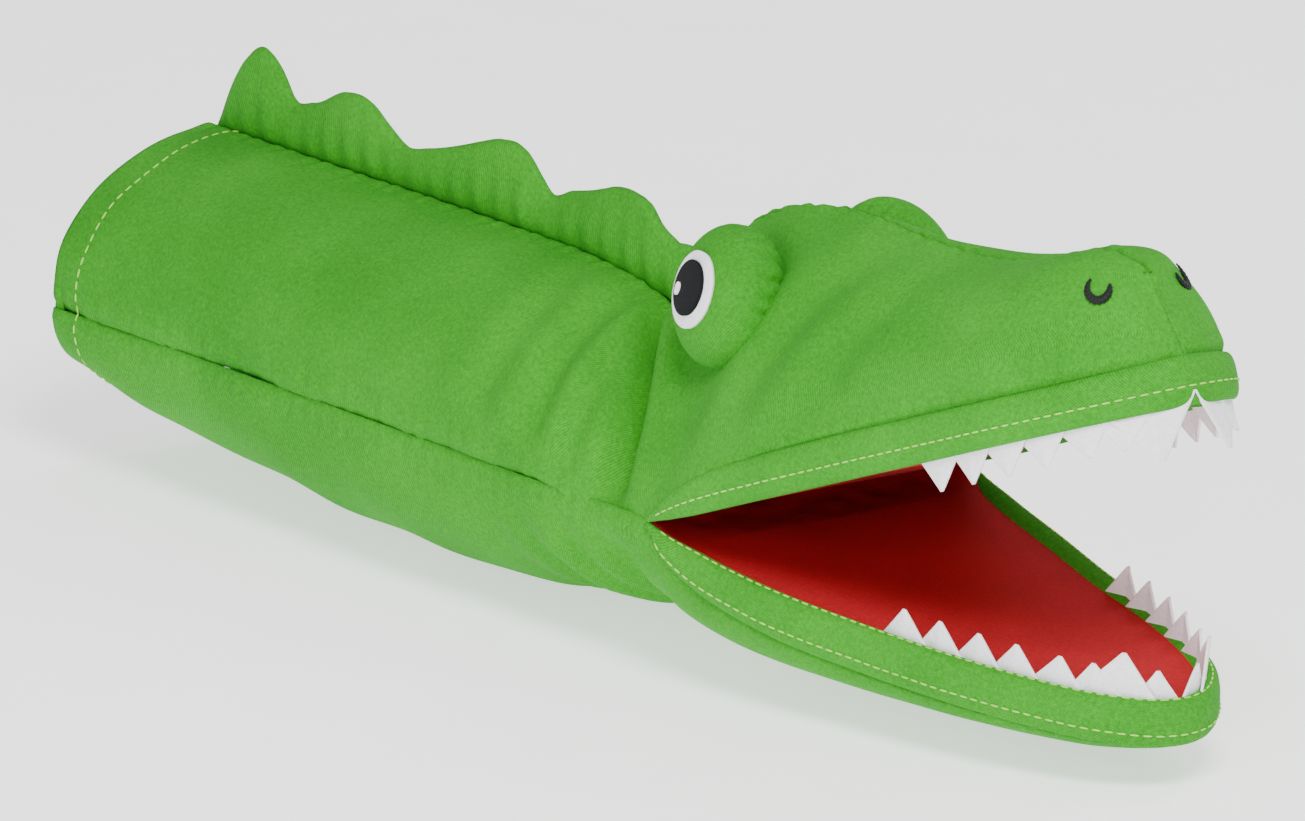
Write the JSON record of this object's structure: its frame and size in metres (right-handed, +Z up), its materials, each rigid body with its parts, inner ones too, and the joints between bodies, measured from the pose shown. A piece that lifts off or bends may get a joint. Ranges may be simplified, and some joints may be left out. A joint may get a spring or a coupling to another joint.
{
  "type": "hand puppet",
  "caption": "Crocodile hand puppet: a cotton sleeve for the arm, jaws that the fingers and thumb open and close, cloth teeth and stuffed eyes.",
  "frame": {"origin": "on the ground under the middle of the puppet", "axes": "+X towards the snout, +Z up, +Y to the puppet's left"},
  "size_m": [0.4018, 0.1, 0.1272],
  "materials": {
    "green_cotton": "woven",
    "red_cotton": "woven",
    "tooth_felt": "matt",
    "eye_felt": "matt",
    "pupil_felt": "matt",
    "black_thread": "satin",
    "wadding": "fluffy",
    "pocket_lining": "woven",
    "stiffener_card": "matt"
  },
  "bodies": {
    "sleeve": {"right_sleeve_panel": "green_cotton", "left_sleeve_panel": "green_cotton", "belly_panel": "green_cotton", "right_cuff_hem": "green_cotton", "left_cuff_hem": "green_cotton", "belly_hem": "green_cotton", "crest_wadding": "wadding", "crest_right_layer": "green_cotton", "crest_left_layer": "green_cotton", "mouth_hinge_fold": "red_cotton", "right_nape_fold": "green_cotton", "left_nape_fold": "green_cotton", "right_throat_fold": "green_cotton", "left_throat_fold": "green_cotton"},
    "upper_jaw": {"right_head_panel": "green_cotton", "left_head_panel": "green_cotton", "right_upper_lip_band": "green_cotton", "left_upper_lip_band": "green_cotton", "palate_lining": "red_cotton", "upper_board": "stiffener_card", "right_upper_teeth": "tooth_felt", "left_upper_teeth": "tooth_felt", "finger_pocket": "pocket_lining", "head_wadding": "wadding", "snout_wadding": "wadding", "right_eye_cover": "green_cotton", "left_eye_cover": "green_cotton", "right_eye_wadding": "wadding", "left_eye_wadding": "wadding", "right_eye_white": "eye_felt", "left_eye_white": "eye_felt", "right_pupil": "pupil_felt", "left_pupil": "pupil_felt", "right_eye_glint": "eye_felt", "left_eye_glint": "eye_felt", "right_nostril": "black_thread", "left_nostril": "black_thread"},
    "lower_jaw": {"right_chin_panel": "green_cotton", "left_chin_panel": "green_cotton", "right_lower_lip_band": "green_cotton", "left_lower_lip_band": "green_cotton", "floor_lining": "red_cotton", "lower_board": "stiffener_card", "right_lower_teeth": "tooth_felt", "left_lower_teeth": "tooth_felt", "thumb_pocket": "pocket_lining", "chin_wadding": "wadding"}
  },
  "joints": [
    {"name": "upper_jaw_lift", "type": "hinge", "parent": "sleeve", "child": "upper_jaw", "pos_m": [0.04508, 0, 0.04], "axis": [0, -1, 0], "range_deg": [-7, 20], "deforming": ["right_nape_fold", "left_nape_fold"]},
    {"name": "lower_jaw_drop", "type": "hinge", "parent": "sleeve", "child": "lower_jaw", "pos_m": [0.04508, 0, 0.04], "axis": [0, 1, 0], "range_deg": [-5, 18], "deforming": ["right_throat_fold", "left_throat_fold"]}
  ]
}
